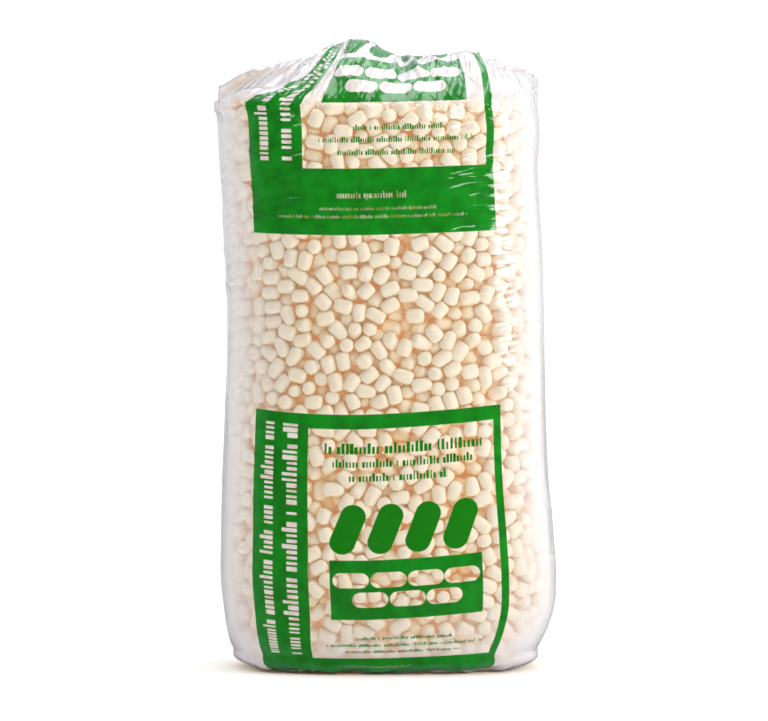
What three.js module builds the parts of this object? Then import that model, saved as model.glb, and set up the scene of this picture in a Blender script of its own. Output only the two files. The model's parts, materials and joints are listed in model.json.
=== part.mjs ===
// A bag of loose-fill packing peanuts, standing upright as it is stored and sold.
// A tube of clear polyethylene film is filled with short starch-foam cylinders. Its bottom is folded flat
// under the load, and its top closes along a slack ridge whose sealed strip lies folded towards the back.
// Millimetres, +Z up, +X to the right and -Y to the front. The origin is on the floor, under the middle.
import * as THREE from "three";
import { mergeVertices } from "three/addons/utils/BufferGeometryUtils.js";

// Film and filling
const FILM_WALL = 1.0;
const FILL_GAP = 0.4; // between the film and what it holds
const FILL_TOP = 1165; // the heap's level top

// One peanut: a short cylinder with rounded rims
const PEANUT_RADIUS = 15;
const PEANUT_LENGTH = 38;
const PEANUT_ROUND = 3.5;
const PEANUT_SIDES = 10;

// Loose peanuts that lie on the heap, in the slack top of the bag
const LOOSE_ROWS = 5;
const LOOSE_COLUMNS = 8;
const LOOSE_PITCH_X = 66;
const LOOSE_PITCH_Y = 62;
const LOOSE_STRAY = 6; // how far one lies from its even place

// The filled body, from the floor to the shoulder: height, left side, right side, half depth, squareness.
// Squareness is the exponent of the section's superellipse: 2 is an ellipse, and more is boxier.
const BODY = [
  [0, -262, 262, 168, 3.2],
  [2, -286, 286, 186, 3.2],
  [12, -304, 304, 204, 3.1],
  [42, -323, 319, 226, 3.0],
  [85, -336, 340, 239, 2.9],
  [127, -342, 353, 247, 2.8],
  [190, -348, 357, 252, 2.8],
  [270, -347, 352, 250, 2.8],
  [400, -344, 340, 246, 2.8],
  [520, -339, 335, 243, 2.8],
  [640, -334, 332, 240, 2.8],
  [760, -334, 330, 238, 2.8],
  [880, -340, 327, 236, 2.8],
  [980, -344, 321, 235, 2.8],
  [1060, -350, 317, 233, 2.8],
  [1120, -353, 321, 230, 2.8],
  [1170, -357, 317, 224, 2.8],
];

// The slack roof, from the shoulder (0) to the ridge (1): share of the way, left side, right side.
const ROOF = [
  [0.14, -357, 309],
  [0.28, -356, 304],
  [0.44, -353, 312],
  [0.6, -350, 318],
  [0.8, -346, 318],
  [1.0, -340, 316],
];
const RIDGE_Y = -100;

// The ridge's outline across the bag: place, height. The film stands up in a crest left of the middle.
const RIDGE = [
  [-346, 1214],
  [-303, 1238],
  [-234, 1254],
  [-175, 1268],
  [-140, 1282],
  [-118, 1299],
  [-80, 1305],
  [-34, 1303],
  [-6, 1285],
  [35, 1272],
  [100, 1273],
  [170, 1280],
  [210, 1270],
  [240, 1254],
  [300, 1241],
  [318, 1226],
];

// The sealed strip beyond the ridge: how far behind it, how far above it, and the strip's lean from upright.
// The seal's two plies are drawn with a slit between them, so that the hollow bag has its real mouth.
const STRIP = [
  [1.5, 2.5, 30],
  [5, 5, 65],
  [12, 6.5, 88],
  [34, 5.5, 92],
  [62, 2.5, 96],
];
const STRIP_HALF = 1.4; // half of the strip's thickness: a ply and half of the slit

const AROUND = 60; // points round each ring
const BOTTOM_ROUND = 85; // below this height the film turns in under the load

// The height of the ridge at a place across the bag, by straight lines between the outline's points.
function ridgeHeight(x) {
  const last = RIDGE[RIDGE.length - 1];
  if (x <= RIDGE[0][0]) return RIDGE[0][1];
  for (let i = 1; i < RIDGE.length; i++) {
    const [x0, z0] = RIDGE[i - 1];
    const [x1, z1] = RIDGE[i];
    if (x <= x1) return z0 + ((z1 - z0) * (x - x0)) / (x1 - x0);
  }
  return last[1];
}

// A point on a superellipse of half width 1 and half depth 1, at an even step of angle.
function unitSection(index, squareness) {
  const angle = (index / AROUND) * 2 * Math.PI;
  const c = Math.cos(angle);
  const s = Math.sin(angle);
  const reach = (Math.abs(c) ** squareness + Math.abs(s) ** squareness) ** (-1 / squareness);
  return [reach * c, reach * s];
}

// One ring of the body, drawn in by inset from the bag's outside, and lifted as well where it turns under.
function bodyRing([z, left, right, depth, squareness], inset) {
  const half = (right - left) / 2 - inset;
  const lift = inset * Math.max(0, 1 - z / BOTTOM_ROUND);
  return Array.from({ length: AROUND }, (_, i) => {
    const [u, v] = unitSection(i, squareness);
    return new THREE.Vector3((left + right) / 2 + half * u, (depth - inset) * v, z + lift);
  });
}

// One ring of the roof. It narrows to the strip's thickness while it rises to the ridge.
function roofRing([share, left, right], inset) {
  const [shoulder, , , depth, squareness] = BODY[BODY.length - 1];
  const rise = Math.sin((share * Math.PI) / 2);
  const open = Math.cos((share * Math.PI) / 2);
  const half = (right - left) / 2 - inset;
  const halfDepth = STRIP_HALF + (depth - STRIP_HALF) * open - inset;
  return Array.from({ length: AROUND }, (_, i) => {
    const [u, v] = unitSection(i, squareness);
    const x = (left + right) / 2 + half * u;
    const z = shoulder + (ridgeHeight(x) - shoulder) * rise - inset * rise;
    return new THREE.Vector3(x, RIDGE_Y * (1 - open) + halfDepth * v, z);
  });
}

// One ring of the sealed strip, which turns over from the ridge and lies towards the back.
function stripRing([behind, above, leanDegrees], inset) {
  const [, left, right] = ROOF[ROOF.length - 1];
  const squareness = BODY[BODY.length - 1][4];
  const lean = THREE.MathUtils.degToRad(leanDegrees);
  const half = (right - left) / 2 - inset;
  return Array.from({ length: AROUND }, (_, i) => {
    const [u, v] = unitSection(i, squareness);
    const x = (left + right) / 2 + half * u;
    const ply = (STRIP_HALF - inset) * v;
    const y = RIDGE_Y + behind + ply * Math.cos(lean);
    return new THREE.Vector3(x, y, ridgeHeight(x) + above - ply * Math.sin(lean));
  });
}

// A closed geometry through rings of equal count. An end without a join is closed to its middle point.
function skin(rings, closedLoop) {
  const points = rings.flat();
  const faces = [];
  const bands = closedLoop ? rings.length : rings.length - 1;
  for (let r = 0; r < bands; r++) {
    const low = r * AROUND;
    const high = ((r + 1) % rings.length) * AROUND;
    for (let i = 0; i < AROUND; i++) {
      const j = (i + 1) % AROUND;
      faces.push(low + i, low + j, high + j, low + i, high + j, high + i);
    }
  }
  const cap = (ring, start, upward) => {
    const middle = ring.reduce((sum, p) => sum.add(p), new THREE.Vector3()).divideScalar(AROUND);
    points.push(middle);
    for (let i = 0; i < AROUND; i++) {
      const j = (i + 1) % AROUND;
      faces.push(points.length - 1, start + (upward ? i : j), start + (upward ? j : i));
    }
  };
  if (!closedLoop) {
    cap(rings[0], 0, false);
    cap(rings[rings.length - 1], (rings.length - 1) * AROUND, true);
  }
  const geometry = new THREE.BufferGeometry().setFromPoints(points);
  geometry.setIndex(faces);
  return geometry;
}

// Two skins, one inside the other, that share their mouth: the outside goes up, and the inside comes down.
function filmGeometry() {
  const wall = (inset) => [
    ...BODY.map((station) => bodyRing(station, inset)),
    ...ROOF.map((station) => roofRing(station, inset)),
    ...STRIP.map((station) => stripRing(station, inset)),
  ];
  return skin([...wall(0), ...wall(FILM_WALL).reverse()], false);
}

// The heap of peanuts as one mass: the film's inside up to the level top, with a rounded rim.
function fillGeometry() {
  const inset = FILM_WALL + FILL_GAP;
  const top = BODY[BODY.length - 1];
  const rim = [
    [FILL_TOP - 14, 2],
    [FILL_TOP - 5, 10],
    [FILL_TOP, 26],
    [FILL_TOP, 120],
  ];
  return skin(
    [
      ...BODY.slice(0, -1).map((station) => bodyRing(station, inset)),
      ...rim.map(([z, drawnIn]) => bodyRing([z, ...top.slice(1)], inset + drawnIn)),
    ],
    false,
  );
}

// One peanut lying along X.
function peanutGeometry() {
  const end = PEANUT_LENGTH / 2;
  const profile = [
    [0, -end],
    [PEANUT_RADIUS - PEANUT_ROUND, -end],
    [PEANUT_RADIUS, PEANUT_ROUND - end],
    [PEANUT_RADIUS, end - PEANUT_ROUND],
    [PEANUT_RADIUS - PEANUT_ROUND, end],
    [0, end],
  ].map(([r, y]) => new THREE.Vector2(r, y));
  const turned = new THREE.LatheGeometry(profile, PEANUT_SIDES);
  turned.deleteAttribute("normal");
  turned.deleteAttribute("uv");
  return mergeVertices(turned, 1e-3).rotateZ(Math.PI / 2);
}

// An even spread of values from 0 to 1, the same on every run.
function scatter(index, salt) {
  const wave = Math.sin(index * 12.9898 + salt * 78.233) * 43758.5453;
  return wave - Math.floor(wave);
}

const filmMaterial = new THREE.MeshStandardMaterial({
  color: 0xeef0f4,
  roughness: 0.15,
  metalness: 0,
  transparent: true,
  opacity: 0.3,
});
const foamMaterial = new THREE.MeshStandardMaterial({ color: 0xf6e8cc, roughness: 0.85, metalness: 0 });

const bag = new THREE.Group();
bag.name = "packing_peanut_bag";

const film = new THREE.Mesh(filmGeometry(), filmMaterial);
film.name = "bag_film";
bag.add(film);

const fill = new THREE.Mesh(fillGeometry(), foamMaterial);
fill.name = "peanut_fill";
bag.add(fill);

const peanut = peanutGeometry();
const peanutRest = FILL_TOP + FILL_GAP + PEANUT_RADIUS;
for (let row = 0; row < LOOSE_ROWS; row++) {
  for (let column = 0; column < LOOSE_COLUMNS; column++) {
    const index = row * LOOSE_COLUMNS + column;
    const loose = new THREE.Mesh(peanut, foamMaterial);
    loose.name = `peanut_${String(index + 1).padStart(2, "0")}`;
    loose.position.set(
      (column - (LOOSE_COLUMNS - 1) / 2) * LOOSE_PITCH_X - 18 + (scatter(index, 1) * 2 - 1) * LOOSE_STRAY,
      (row - (LOOSE_ROWS - 1) / 2) * LOOSE_PITCH_Y + (scatter(index, 2) * 2 - 1) * LOOSE_STRAY,
      peanutRest,
    );
    loose.rotation.z = scatter(index, 3) * Math.PI;
    bag.add(loose);
  }
}

export default bag;
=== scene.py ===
"""A clear film bag filled with starch packing peanuts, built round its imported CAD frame."""

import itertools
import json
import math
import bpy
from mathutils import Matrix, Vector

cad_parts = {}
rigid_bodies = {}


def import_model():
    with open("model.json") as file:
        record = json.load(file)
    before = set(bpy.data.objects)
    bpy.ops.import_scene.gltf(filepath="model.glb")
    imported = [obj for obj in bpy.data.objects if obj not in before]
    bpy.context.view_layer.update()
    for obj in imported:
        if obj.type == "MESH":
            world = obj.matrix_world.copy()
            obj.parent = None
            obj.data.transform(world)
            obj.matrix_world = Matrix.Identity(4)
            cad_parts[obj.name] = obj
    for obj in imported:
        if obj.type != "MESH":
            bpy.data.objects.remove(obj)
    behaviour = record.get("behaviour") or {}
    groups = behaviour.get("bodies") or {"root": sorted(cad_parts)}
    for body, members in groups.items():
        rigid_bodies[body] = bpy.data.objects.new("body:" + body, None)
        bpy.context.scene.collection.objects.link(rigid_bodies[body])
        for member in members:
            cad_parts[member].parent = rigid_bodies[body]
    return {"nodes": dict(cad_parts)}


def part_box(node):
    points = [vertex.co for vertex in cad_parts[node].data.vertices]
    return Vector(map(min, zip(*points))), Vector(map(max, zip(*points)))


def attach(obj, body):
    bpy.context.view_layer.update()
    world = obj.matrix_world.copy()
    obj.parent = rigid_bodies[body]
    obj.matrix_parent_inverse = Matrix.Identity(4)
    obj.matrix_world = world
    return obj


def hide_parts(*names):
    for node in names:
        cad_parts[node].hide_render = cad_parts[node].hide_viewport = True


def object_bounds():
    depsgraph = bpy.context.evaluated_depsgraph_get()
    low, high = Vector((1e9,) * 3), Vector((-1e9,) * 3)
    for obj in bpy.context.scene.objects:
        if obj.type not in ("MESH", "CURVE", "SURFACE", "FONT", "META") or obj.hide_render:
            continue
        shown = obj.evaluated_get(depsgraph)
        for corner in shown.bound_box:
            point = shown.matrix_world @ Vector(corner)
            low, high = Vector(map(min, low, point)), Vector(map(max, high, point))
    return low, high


bl_info = {
    "name": "Bag of Packing Peanuts",
    "version": (1, 0, 0),
    "blender": (4, 5, 0),
    "location": "View3D > Sidebar > Packing",
    "description": "Builds a clear film bag of packing peanuts: the heap, the printed film and the stage",
    "category": "Object",
}

import bmesh
import bpy
import numpy as np
from mathutils import Vector
from mathutils.bvhtree import BVHTree

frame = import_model()
CAD_BOX = [list(corner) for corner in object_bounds()]
LOOSE_NODES = sorted(name for name in frame["nodes"] if name.startswith("peanut_") and name != "peanut_fill")
LOOSE_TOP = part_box(LOOSE_NODES[0])[1].z

# The filled body in metres: height, left side, right side, half depth. The film and the heap both follow it.
BODY = np.array(
    [
        (0.000, -0.262, 0.262, 0.168),
        (0.012, -0.304, 0.304, 0.204),
        (0.042, -0.323, 0.319, 0.226),
        (0.085, -0.336, 0.340, 0.239),
        (0.127, -0.342, 0.353, 0.247),
        (0.190, -0.348, 0.357, 0.252),
        (0.270, -0.347, 0.352, 0.250),
        (0.400, -0.344, 0.340, 0.246),
        (0.520, -0.339, 0.335, 0.243),
        (0.640, -0.334, 0.332, 0.240),
        (0.760, -0.334, 0.330, 0.238),
        (0.880, -0.340, 0.327, 0.236),
        (0.980, -0.344, 0.321, 0.235),
        (1.060, -0.350, 0.317, 0.233),
        (1.120, -0.353, 0.321, 0.230),
        (1.170, -0.357, 0.317, 0.224),
    ]
)
SHOULDER = BODY[-1, 0]
SQUARENESS = 2.8  # the exponent of the section's superellipse: 2 is an ellipse, and more is boxier
GIRTH = 1.84  # round the film tube

# The ridge where the slack top closes: place across the bag, height
RIDGE = np.array(
    [
        (-0.346, 1.214),
        (-0.303, 1.238),
        (-0.234, 1.254),
        (-0.175, 1.268),
        (-0.140, 1.275),
        (-0.118, 1.290),
        (-0.080, 1.303),
        (-0.034, 1.303),
        (-0.006, 1.285),
        (0.035, 1.272),
        (0.100, 1.273),
        (0.170, 1.280),
        (0.210, 1.270),
        (0.240, 1.254),
        (0.300, 1.241),
        (0.318, 1.226),
    ]
)
RIDGE_Y = -0.095
# The sealed strip's rows: how far behind the ridge each lies, and how far above it
SEAL_ROWS = ((0.002, 0.003), (0.006, 0.005), (0.014, 0.0055), (0.030, 0.004), (0.05, 0.002))
LEVEL = 0.64  # the height at which a place up the flat film equals its height
FOLD_END = GIRTH / 4  # from the front's middle to the side fold

# How the film gathers towards the crest: place round the film from the front's middle, place on the ridge
GATHER = np.array(
    [
        (-0.460, -0.350),
        (-0.370, -0.230),
        (-0.262, -0.126),
        (-0.200, -0.110),
        (-0.149, -0.098),
        (-0.109, -0.076),
        (-0.050, -0.038),
        (0.050, 0.045),
        (0.120, 0.105),
        (0.175, 0.143),
        (0.228, 0.186),
        (0.330, 0.256),
        (0.460, 0.316),
    ]
)

PEANUT_SIDES = 10
# Crown of the ends, skew of the top end and how narrow the top is, for each kind of peanut
PEANUT_KINDS = (
    (0.0006, 0.0000, 1.00),
    (0.0016, 0.0000, 0.94),
    (0.0004, 0.0026, 0.97),
    (0.0012, -0.0018, 0.90),
    (0.0020, 0.0012, 0.86),
    (-0.0004, -0.0008, 0.96),
)

# The heap's pieces, from the floor up
ZONES = ("bottom", "low", "middle", "high", "top")


# ---------------------------------------------------------------- shapes shared by the heap and the film


def smooth_through(places, values, wanted):
    """A smooth curve through the values at these places, read where wanted."""
    slopes = np.gradient(values, places)
    index = np.clip(np.searchsorted(places, wanted) - 1, 0, len(places) - 2)
    span = places[index + 1] - places[index]
    t = np.clip((wanted - places[index]) / span, 0, 1)
    rise = t * t * (3 - 2 * t)
    leave = t * (1 - t) ** 2 * span * slopes[index]
    arrive = t * t * (t - 1) * span * slopes[index + 1]
    return values[index] * (1 - rise) + values[index + 1] * rise + leave + arrive


def body_at(height):
    """Middle, half width and half depth of the body at these heights."""
    left, right, depth = (smooth_through(BODY[:, 0], BODY[:, k], height) for k in (1, 2, 3))
    return (left + right) / 2, (right - left) / 2, depth


def section(count):
    """Evenly spaced points round a section of half width and half depth 1, from the back by the left side."""
    angle = np.linspace(0, 2 * math.pi, 32 * count + 1)
    across, behind = -np.sin(angle), np.cos(angle)
    reach = (np.abs(across) ** SQUARENESS + np.abs(behind) ** SQUARENESS) ** (-1 / SQUARENESS)
    across, behind = across * reach, behind * reach
    _, half, depth = body_at(np.array([LEVEL]))
    steps = np.hypot(np.diff(across) * half, np.diff(behind) * depth)
    round_film = np.concatenate([[0], np.cumsum(steps)])
    even = np.arange(count) / count * round_film[-1]
    return np.interp(even, round_film, across), np.interp(even, round_film, behind)


def noise(x, y, seed, around=None):
    """Smooth noise from -1 to 1 over unit cells. With around, it repeats after that many cells along x."""
    table = np.random.default_rng(seed).uniform(-1, 1, (around or 97, 97))
    column, row = np.floor(x).astype(int), np.floor(y).astype(int)
    s, t = x - column, y - row
    s, t = s * s * (3 - 2 * s), t * t * (3 - 2 * t)
    a, b = column % table.shape[0], (column + 1) % table.shape[0]
    c, d = row % table.shape[1], (row + 1) % table.shape[1]
    low = table[a, c] * (1 - s) + table[b, c] * s
    high = table[a, d] * (1 - s) + table[b, d] * s
    return low * (1 - t) + high * t


# ---------------------------------------------------------------- node helpers


class Wiring:
    """Adds nodes to a tree and links them, a value or an output at a time."""

    def __init__(self, tree):
        self.tree = tree

    def node(self, kind, inputs=None, **settings):
        made = self.tree.nodes.new(kind)
        for key, value in settings.items():
            setattr(made, key, value)
        for key, value in (inputs or {}).items():
            self.feed(made.inputs[key], value)
        return made

    def feed(self, socket, value):
        if isinstance(value, bpy.types.NodeSocket):
            self.tree.links.new(value, socket)
        else:
            socket.default_value = value

    def maths(self, operation, *values):
        made = self.node("ShaderNodeMath", operation=operation)
        for socket, value in zip(made.inputs, values):
            self.feed(socket, value)
        return made.outputs[0]

    def plus(self, a, b):
        return self.maths("ADD", a, b)

    def minus(self, a, b):
        return self.maths("SUBTRACT", a, b)

    def times(self, a, b):
        return self.maths("MULTIPLY", a, b)

    def lesser(self, a, b):
        return self.maths("MINIMUM", a, b)

    def greater(self, a, b):
        return self.maths("MAXIMUM", a, b)

    def size(self, a):
        return self.maths("ABSOLUTE", a)

    def parts(self, vector):
        """The three parts of a vector."""
        return self.node("ShaderNodeSeparateXYZ", {0: vector}).outputs

    def vector(self, operation, a, b):
        """Two vectors put together."""
        return self.node("ShaderNodeVectorMath", {0: a, 1: b}, operation=operation).outputs[0]

    def turned(self, vector, angle):
        """A vector turned round Z."""
        made = self.node("ShaderNodeVectorRotate", rotation_type="Z_AXIS")
        self.feed(made.inputs["Vector"], vector)
        self.feed(made.inputs["Angle"], angle)
        return made.outputs[0]

    def least(self, values):
        """The least of several values."""
        values = list(values)
        while len(values) > 1:
            values.append(self.lesser(values.pop(0), values.pop(0)))
        return values[0]

    def cut(self, shape, *holes):
        """A shape's distance with holes cut from it."""
        return self.greater(shape, self.times(self.least(holes), -1.0))

    def group(self, tree, inputs):
        made = self.node("ShaderNodeGroup", node_tree=tree)
        for key, value in inputs.items():
            self.feed(made.inputs[key], value)
        return made

    def mix(self, share, a, b):
        """A colour mixed from a to b."""
        made = self.node("ShaderNodeMix", data_type="RGBA")
        self.feed(made.inputs[0], share)
        self.feed(made.inputs[6], a)
        self.feed(made.inputs[7], b)
        return made.outputs[2]

    def between(self, value, low, high, to_low=0.0, to_high=1.0):
        """A value remapped and held between two limits."""
        made = self.node("ShaderNodeMapRange")
        for socket, given in zip(made.inputs, (value, low, high, to_low, to_high)):
            self.feed(socket, given)
        return made.outputs[0]


# ---------------------------------------------------------------- the heap


class Container:
    """The space the heap fills: the body's inside, up to a gently uneven top, round an empty core."""

    CLEAR_SIDE = 0.009  # the film stands off the heap by this at the left and right
    CLEAR_DEPTH = 0.002

    def __init__(self, top, depth):
        self.top = top
        self.depth = depth
        self.heights = np.linspace(0, SHOULDER + 0.1, 700)
        middle, half, deep = body_at(self.heights)
        self.middle = middle
        self.half = half - self.CLEAR_SIDE
        self.deep = deep - self.CLEAR_DEPTH
        self.half_slope = np.gradient(self.half, self.heights)
        self.deep_slope = np.gradient(self.deep, self.heights)

    def heap_top(self, x, y):
        """Height of the heap's top at a place."""
        uneven = 0.012 * noise(x / 0.13 + 40, y / 0.13 + 40, 5)
        rim = 0.020 * np.clip((np.abs(y) - 0.15) / 0.08, 0, 1)
        return self.top + uneven - rim

    def side_distance(self, points):
        """How far inside the side wall each point is, and the unit direction to the wall."""
        x, y, z = points.T
        read = lambda table: np.interp(z, self.heights, table)
        half, deep = read(self.half), read(self.deep)
        u = np.abs(x - read(self.middle)) / half
        v = np.abs(y) / deep
        n = SQUARENESS
        g = np.maximum((u**n + v**n) ** (1 / n), 1e-4)
        shrink = g ** (1 - n)
        slope = np.stack(
            [
                u ** (n - 1) * shrink / half * np.sign(x - read(self.middle)),
                v ** (n - 1) * shrink / deep * np.sign(y),
                -(u**n * read(self.half_slope) / half + v**n * read(self.deep_slope) / deep) * shrink,
            ],
            axis=1,
        )
        steep = np.linalg.norm(slope, axis=1)
        return (1 - g) / steep, slope / steep[:, None]

    def shell_room(self, points):
        """How deep each point is in the core, below 0 outside it, and the unit direction out of it."""
        side, outward = self.side_distance(points)
        over = self.heap_top(points[:, 0], points[:, 1]) - points[:, 2]
        room = np.stack([side - self.depth, over - self.depth, points[:, 2] - self.depth], axis=1)
        nearest = np.argmin(room, axis=1)
        direction = np.where(
            (nearest == 0)[:, None], outward, np.where((nearest == 1)[:, None], (0, 0, 1), (0, 0, -1))
        )
        return np.min(room, axis=1), direction

    def hold(self, points, radius):
        """The move that brings each point inside the walls, radius clear of them, and out of the core."""
        side, outward = self.side_distance(points)
        move = -np.maximum(radius - side, 0)[:, None] * outward
        over = points[:, 2] + radius - self.heap_top(points[:, 0], points[:, 1])
        move[:, 2] -= np.maximum(over, 0)
        move[:, 2] += np.maximum(radius - points[:, 2], 0)
        deep, direction = self.shell_room(points)
        return move + np.maximum(deep, 0)[:, None] * direction


def near_pairs(points, reach):
    """Pairs of points less than reach apart, found by sorting the points into cells of that size."""
    cell = np.floor((points - points.min(0)) / reach).astype(np.int64) + 1
    size = cell.max(0) + 2
    key = (cell[:, 0] * size[1] + cell[:, 1]) * size[2] + cell[:, 2]
    order = np.argsort(key, kind="stable")
    ordered = key[order]
    firsts, seconds = [], []
    for dx, dy, dz in itertools.product((-1, 0, 1), repeat=3):
        wanted = key + (dx * size[1] + dy) * size[2] + dz
        start = np.searchsorted(ordered, wanted, "left")
        count = np.searchsorted(ordered, wanted, "right") - start
        first = np.repeat(np.arange(len(points)), count)
        within = np.arange(count.sum()) - np.repeat(np.cumsum(count) - count, count)
        second = order[np.repeat(start, count) + within]
        keep = first < second
        firsts.append(first[keep])
        seconds.append(second[keep])
    first, second = np.concatenate(firsts), np.concatenate(seconds)
    near = np.linalg.norm(points[first] - points[second], axis=1) < reach
    return first[near], second[near]


def closest_on_rods(between, a, b, half):
    """Where two rods of half length half come closest: places along a and along b, from the rods' middles."""
    lean = np.einsum("ij,ij->i", a, b)
    along_a = np.einsum("ij,ij->i", a, between)
    along_b = np.einsum("ij,ij->i", b, between)
    apart = np.maximum(1 - lean**2, 1e-3)
    s = np.clip((along_a - lean * along_b) / apart, -half, half)
    t = np.clip(lean * s - along_b, -half, half)
    s = np.clip(along_a + lean * t, -half, half)
    return s, t


def settle(container, radius, length, per_litre, rounds, seed):
    """Places and directions of loose rods with round ends, pushed apart until hardly any touch."""
    rng = np.random.default_rng(seed)
    half = (length - 2 * radius) / 2
    pitch = (1 / (1000 * per_litre)) ** (1 / 3)
    low = np.array([-0.36, -0.26, 0.0])
    high = np.array([0.36, 0.26, container.top + 0.02])
    grid = np.stack(np.meshgrid(*[np.arange(a, b, pitch) for a, b in zip(low, high)], indexing="ij"), -1)
    places = grid.reshape(-1, 3) + rng.uniform(-0.5, 0.5, (grid.size // 3, 3)) * pitch
    side, _ = container.side_distance(places)
    deep, _ = container.shell_room(places)
    top = container.heap_top(places[:, 0], places[:, 1])
    clear = radius * 0.4
    inside = (side > clear) & (deep < 0) & (places[:, 2] < top - clear) & (places[:, 2] > clear)
    places = places[inside]
    aims = rng.normal(size=places.shape)
    aims /= np.linalg.norm(aims, axis=1)[:, None]
    for step in range(rounds):
        if step % 6 == 0:
            first, second = near_pairs(places, 2 * (radius + half) + 0.004)
        a, b = aims[first], aims[second]
        between = places[second] - places[first]
        s, t = closest_on_rods(between, a, b, half)
        gap = between + b * t[:, None] - a * s[:, None]
        distance = np.maximum(np.linalg.norm(gap, axis=1), 1e-6)
        push = np.maximum(2 * radius - distance, 0) / 2 / distance
        touch = push > 0
        push = (gap * push[:, None])[touch]
        ends = np.zeros((2, len(places), 3))
        count = np.zeros((len(places), 1))
        for who, where, sign in ((first[touch], s[touch], -1), (second[touch], t[touch], 1)):
            np.add.at(count, who, 1)
            share = np.clip(where / half, -1, 1)[:, None]
            for end, weight in ((0, (1 - share) / 2), (1, (1 + share) / 2)):
                np.add.at(ends[end], who, sign * push * weight * 2 / (1 + share**2))
        ends *= 1.4 / np.maximum(count, 1) ** 0.6
        tips = [places - aims * half + ends[0], places + aims * half + ends[1]]
        tips = [tip + container.hold(tip, radius) for tip in tips]
        places = (tips[0] + tips[1]) / 2
        aims = tips[1] - tips[0]
        aims /= np.maximum(np.linalg.norm(aims, axis=1), 1e-9)[:, None]
    return places, aims


def peanut_shape(name, radius, length, crown, skew, taper):
    """One extruded peanut along Z: a short cylinder with soft rims. Its top is cut askew and is narrower."""
    half = length / 2
    rim = [(0.52, half + crown), (0.86, half - 0.0022), (1.0, half - 0.0085)]
    rings = [(reach, -z) for reach, z in rim] + [(reach * taper, z) for reach, z in reversed(rim)]
    build = bmesh.new()
    loops = []
    for reach, z in rings:
        loop = []
        for side in range(PEANUT_SIDES):
            angle = 2 * math.pi * side / PEANUT_SIDES
            x, y = reach * radius * math.cos(angle), reach * radius * math.sin(angle)
            loop.append(build.verts.new((x, y, z + (skew * x / radius if z > 0 else 0))))
        loops.append(loop)
    for low, high in zip(loops, loops[1:]):
        for side in range(PEANUT_SIDES):
            after = (side + 1) % PEANUT_SIDES
            build.faces.new((low[side], low[after], high[after], high[side]))
    build.faces.new(list(reversed(loops[0])))
    build.faces.new(loops[-1])
    mesh = bpy.data.meshes.new(name)
    build.to_mesh(mesh)
    build.free()
    return bpy.data.objects.new(name, mesh)


def scatter_tree():
    """Geometry Nodes that put one of several shapes at each point, turned and sized by its attributes."""
    tree = bpy.data.node_groups.new("Scatter Peanuts", "GeometryNodeTree")
    sockets = {"Geometry": "Geometry", "Shapes": "Collection", "Swelling": "Float", "Surface": "Material"}
    for key, kind in sockets.items():
        tree.interface.new_socket(key, in_out="INPUT", socket_type="NodeSocket" + kind)
    tree.interface.new_socket("Geometry", in_out="OUTPUT", socket_type="NodeSocketGeometry")
    w = Wiring(tree)
    given = w.node("NodeGroupInput").outputs

    def stored(name, kind):
        return w.node("GeometryNodeInputNamedAttribute", {"Name": name}, data_type=kind).outputs["Attribute"]

    shapes = w.node(
        "GeometryNodeCollectionInfo",
        {"Collection": given["Shapes"], "Separate Children": True, "Reset Children": True},
    )
    aim = w.node("FunctionNodeAlignRotationToVector", {"Vector": stored("aim", "FLOAT_VECTOR")}, axis="Z")
    roll = w.node("FunctionNodeAxisAngleToRotation", {"Axis": (0, 0, 1), "Angle": stored("roll", "FLOAT")})
    both = {0: aim.outputs[0], 1: roll.outputs[0]}
    turn = w.node("FunctionNodeRotateRotation", both, rotation_space="LOCAL")
    swell = w.node("ShaderNodeVectorMath", operation="SCALE")
    w.feed(swell.inputs[0], stored("swell", "FLOAT_VECTOR"))
    w.feed(swell.inputs["Scale"], given["Swelling"])
    place = w.node(
        "GeometryNodeInstanceOnPoints",
        {
            "Points": given["Geometry"],
            "Instance": shapes.outputs[0],
            "Pick Instance": True,
            "Instance Index": stored("kind", "INT"),
            "Rotation": turn.outputs[0],
            "Scale": swell.outputs[0],
        },
    )
    real = w.node("GeometryNodeRealizeInstances", {0: place.outputs[0]})
    smooth = w.node("GeometryNodeSetShadeSmooth", {0: real.outputs[0]})
    coat = w.node("GeometryNodeSetMaterial", {0: smooth.outputs[0], "Material": given["Surface"]})
    w.node("NodeGroupOutput", {0: coat.outputs[0]})
    return tree


def set_input(modifier, name, value):
    """Sets a Geometry Nodes modifier's input by its name."""
    for item in modifier.node_group.interface.items_tree:
        if item.item_type == "SOCKET" and item.in_out == "INPUT" and item.name == name:
            modifier[item.identifier] = value
            return
    raise KeyError(name)


def add_object(name, mesh):
    """A new object at the origin, in the scene."""
    thing = bpy.data.objects.new(name, mesh)
    bpy.context.scene.collection.objects.link(thing)
    return thing


def apply_tree(name, points, tree, inputs):
    """The mesh that a Geometry Nodes tree makes of a point mesh, as a plain object."""
    source = add_object(name + "_points", points)
    modifier = source.modifiers.new("Scatter", "NODES")
    modifier.node_group = tree
    for key, value in inputs.items():
        set_input(modifier, key, value)
    view = bpy.context.evaluated_depsgraph_get()
    mesh = bpy.data.meshes.new_from_object(source.evaluated_get(view), depsgraph=view)
    mesh.name = name
    bpy.data.objects.remove(source)
    bpy.data.meshes.remove(points)
    return add_object(name, mesh)


def point_mesh(name, places, attributes):
    """A mesh of loose points with attributes, each a pair of type and values."""
    mesh = bpy.data.meshes.new(name)
    mesh.vertices.add(len(places))
    mesh.vertices.foreach_set("co", places.astype(np.float32).ravel())
    for key, (kind, values) in attributes.items():
        made = mesh.attributes.new(key, kind, "POINT")
        made.data.foreach_set("vector" if kind == "FLOAT_VECTOR" else "value", values.ravel())
    return mesh


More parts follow.
